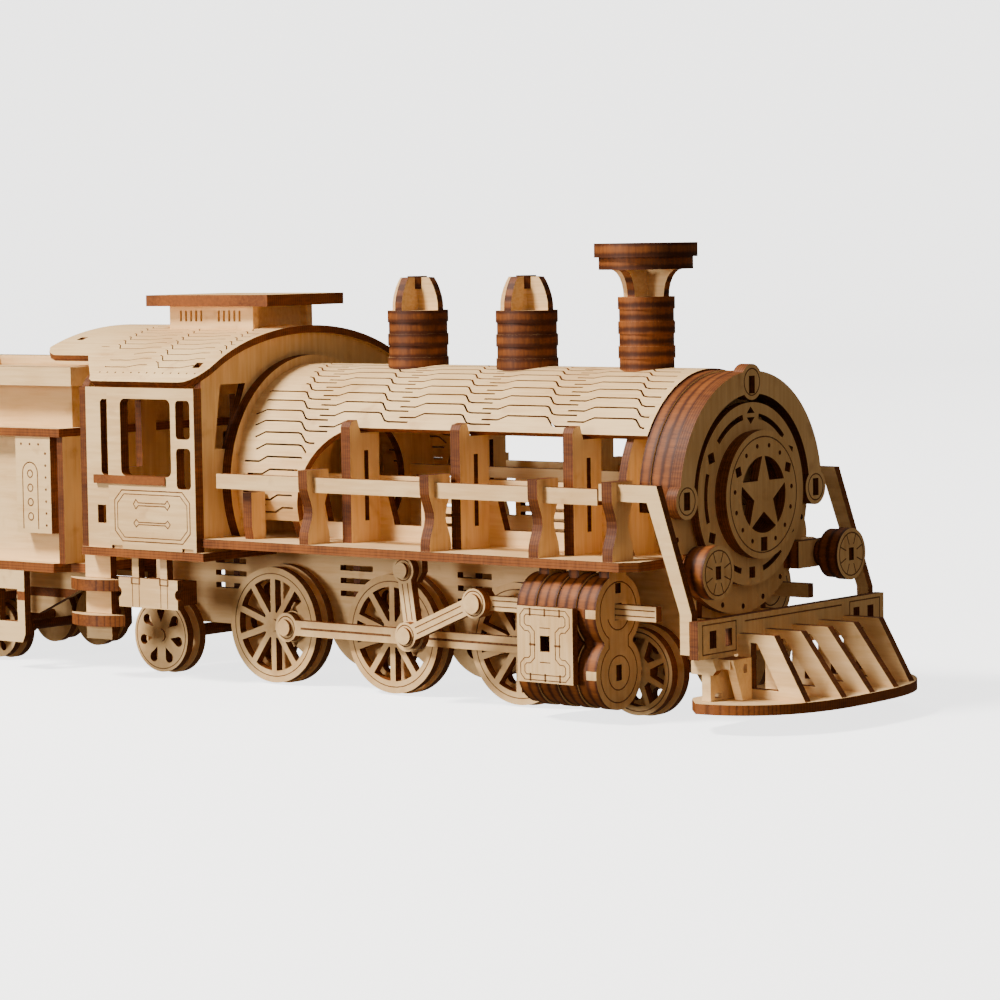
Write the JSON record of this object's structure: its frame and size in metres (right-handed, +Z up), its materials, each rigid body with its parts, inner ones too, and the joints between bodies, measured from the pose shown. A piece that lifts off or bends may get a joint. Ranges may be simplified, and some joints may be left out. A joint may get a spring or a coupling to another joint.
{
  "type": "wooden 3d jigsaw locomotive",
  "caption": "Plywood 3D jigsaw model of a steam locomotive with tender, turning wheels, coupled side rods, swinging valve gear and swivelling bogies.",
  "frame": {"origin": "centre of the model on the rail surface, under the middle of its overall length and width", "axes": "+X forward along the locomotive, +Y to its left-hand side, +Z up"},
  "size_m": [0.308, 0.077, 0.102],
  "materials": {
    "face_ply": "unfinished birch plywood face, laser-cut, edges scorched brown",
    "stacked_ply": "scorched plywood edges showing their layers, matte",
    "bent_ply": "thin birch plywood bent along wavy laser-cut slots, matte",
    "wheel_ply": "birch plywood wheel faces with scorched rims, matte",
    "shadow_ply": "plywood frames in scorched orange-brown, matte"
  },
  "bodies": {
    "locomotive": {"chassis_sides": "shadow_ply", "chassis_crossbars": "shadow_ply", "running_board": "face_ply", "boiler_sides": "face_ply", "boiler_ribs": "stacked_ply", "boiler_formers": "face_ply", "boiler_skin": "bent_ply", "smokebox_rings": "stacked_ply", "smokebox_arch": "face_ply", "smokebox_plate": "shadow_ply", "smokebox_saddle": "shadow_ply", "smokebox_door": "face_ply", "headlamps": "face_ply", "chimney": "stacked_ply", "dome_front": "stacked_ply", "dome_rear": "stacked_ply", "handrail_posts": "stacked_ply", "handrails": "face_ply", "front_braces": "face_ply", "cab_floor": "stacked_ply", "cab_sides": "face_ply", "cab_front_wall": "face_ply", "cab_rear_wall": "stacked_ply", "cab_roof": "bent_ply", "roof_hatch": "face_ply", "cab_steps": "stacked_ply", "tool_boxes": "face_ply", "cylinder_right": "face_ply", "cylinder_left": "face_ply", "link_hangers": "stacked_ply", "buffer_beam": "face_ply", "pilot_base": "stacked_ply", "pilot_slats": "face_ply", "loco_drawbar": "stacked_ply"},
    "driver_rear": {"driver_rear": "wheel_ply"},
    "driver_middle": {"driver_middle": "wheel_ply"},
    "driver_front": {"driver_front": "wheel_ply"},
    "leading_wheelset": {"leading_wheelset": "wheel_ply"},
    "trailing_wheelset": {"trailing_wheelset": "wheel_ply"},
    "coupling_rod_right": {"coupling_rod_right": "face_ply"},
    "coupling_rod_left": {"coupling_rod_left": "face_ply"},
    "link_arm_right": {"link_arm_right": "face_ply"},
    "link_arm_left": {"link_arm_left": "face_ply"},
    "diagonal_rod_right": {"diagonal_rod_right": "face_ply"},
    "diagonal_rod_left": {"diagonal_rod_left": "face_ply"},
    "piston_rod_right": {"piston_rod_right": "face_ply"},
    "piston_rod_left": {"piston_rod_left": "face_ply"},
    "tender": {"tender_floor": "stacked_ply", "tender_sides": "face_ply", "tender_ends": "face_ply", "tender_deck": "stacked_ply", "tender_hopper": "shadow_ply", "tender_rim": "face_ply", "tender_underframe": "shadow_ply"},
    "bogie_front": {"bogie_front": "stacked_ply"},
    "bogie_rear": {"bogie_rear": "stacked_ply"},
    "tender_wheelset_1": {"tender_wheelset_1": "wheel_ply"},
    "tender_wheelset_2": {"tender_wheelset_2": "wheel_ply"},
    "tender_wheelset_3": {"tender_wheelset_3": "wheel_ply"},
    "tender_wheelset_4": {"tender_wheelset_4": "wheel_ply"}
  },
  "joints": [
    {"name": "driver_middle_spin", "type": "hinge", "parent": "locomotive", "child": "driver_middle", "pos_m": [0.0372, 0, 0.014], "axis": [0, 1, 0], "continuous": true},
    {"name": "driver_rear_spin", "type": "hinge", "parent": "locomotive", "child": "driver_rear", "pos_m": [0.0004, 0, 0.014], "axis": [0, 1, 0], "continuous": true},
    {"name": "driver_front_spin", "type": "hinge", "parent": "locomotive", "child": "driver_front", "pos_m": [0.074, 0, 0.014], "axis": [0, 1, 0], "continuous": true},
    {"name": "leading_spin", "type": "hinge", "parent": "locomotive", "child": "leading_wheelset", "pos_m": [0.1065, 0, 0.01], "axis": [0, 1, 0], "continuous": true},
    {"name": "trailing_spin", "type": "hinge", "parent": "locomotive", "child": "trailing_wheelset", "pos_m": [-0.0365, 0, 0.0094], "axis": [0, 1, 0], "continuous": true},
    {"name": "coupling_rod_right_pivot", "type": "hinge", "parent": "driver_middle", "child": "coupling_rod_right", "pos_m": [0.0434, -0.0214, 0.014], "axis": [0, 1, 0], "continuous": true},
    {"name": "piston_rod_right_slide", "type": "slide", "parent": "locomotive", "child": "piston_rod_right", "axis": [1, 0, 0], "range_m": [-0.0021, 0.0021]},
    {"name": "link_arm_right_swing", "type": "hinge", "parent": "locomotive", "child": "link_arm_right", "pos_m": [0.049, -0.0286, 0.03], "axis": [0, -1, 0], "range_deg": [-8, 8]},
    {"name": "diagonal_rod_right_pivot", "type": "hinge", "parent": "link_arm_right", "child": "diagonal_rod_right", "pos_m": [0.0512, -0.0308, 0.0156], "axis": [0, -1, 0], "range_deg": [-9, 9]},
    {"name": "coupling_rod_left_pivot", "type": "hinge", "parent": "driver_middle", "child": "coupling_rod_left", "pos_m": [0.0434, 0.0214, 0.014], "axis": [0, 1, 0], "continuous": true},
    {"name": "piston_rod_left_slide", "type": "slide", "parent": "locomotive", "child": "piston_rod_left", "axis": [1, 0, 0], "range_m": [-0.0021, 0.0021]},
    {"name": "link_arm_left_swing", "type": "hinge", "parent": "locomotive", "child": "link_arm_left", "pos_m": [0.049, 0.0286, 0.03], "axis": [0, -1, 0], "range_deg": [-8, 8]},
    {"name": "diagonal_rod_left_pivot", "type": "hinge", "parent": "link_arm_left", "child": "diagonal_rod_left", "pos_m": [0.0512, 0.0308, 0.0156], "axis": [0, -1, 0], "range_deg": [-9, 9]},
    {"name": "tender_yaw", "type": "hinge", "parent": "locomotive", "child": "tender", "pos_m": [-0.0465, 0, 0.0236], "axis": [0, 0, 1], "range_deg": [-5, 5]},
    {"name": "bogie_front_swivel", "type": "hinge", "parent": "tender", "child": "bogie_front", "pos_m": [-0.102, 0, 0.0184], "axis": [0, 0, 1], "range_deg": [-6, 6]},
    {"name": "tender_wheelset_1_spin", "type": "hinge", "parent": "bogie_front", "child": "tender_wheelset_1", "pos_m": [-0.094, 0, 0.0074], "axis": [0, 1, 0], "continuous": true},
    {"name": "tender_wheelset_2_spin", "type": "hinge", "parent": "bogie_front", "child": "tender_wheelset_2", "pos_m": [-0.11, 0, 0.0074], "axis": [0, 1, 0], "continuous": true},
    {"name": "bogie_rear_swivel", "type": "hinge", "parent": "tender", "child": "bogie_rear", "pos_m": [-0.1345, 0, 0.0184], "axis": [0, 0, 1], "range_deg": [-6, 6]},
    {"name": "tender_wheelset_3_spin", "type": "hinge", "parent": "bogie_rear", "child": "tender_wheelset_3", "pos_m": [-0.1265, 0, 0.0074], "axis": [0, 1, 0], "continuous": true},
    {"name": "tender_wheelset_4_spin", "type": "hinge", "parent": "bogie_rear", "child": "tender_wheelset_4", "pos_m": [-0.1425, 0, 0.0074], "axis": [0, 1, 0], "continuous": true}
  ],
  "couplings": [
    {"joint": "driver_rear_spin", "follows": "driver_middle_spin", "ratio": 1},
    {"joint": "driver_front_spin", "follows": "driver_middle_spin", "ratio": 1},
    {"joint": "coupling_rod_right_pivot", "follows": "driver_middle_spin", "ratio": -1},
    {"joint": "link_arm_right_swing", "follows": "piston_rod_right_slide", "rad_per_m": 65.445},
    {"joint": "diagonal_rod_right_pivot", "follows": "piston_rod_right_slide", "rad_per_m": -72.69},
    {"joint": "coupling_rod_left_pivot", "follows": "driver_middle_spin", "ratio": -1},
    {"joint": "link_arm_left_swing", "follows": "piston_rod_left_slide", "rad_per_m": 65.445},
    {"joint": "diagonal_rod_left_pivot", "follows": "piston_rod_left_slide", "rad_per_m": -72.69}
  ]
}
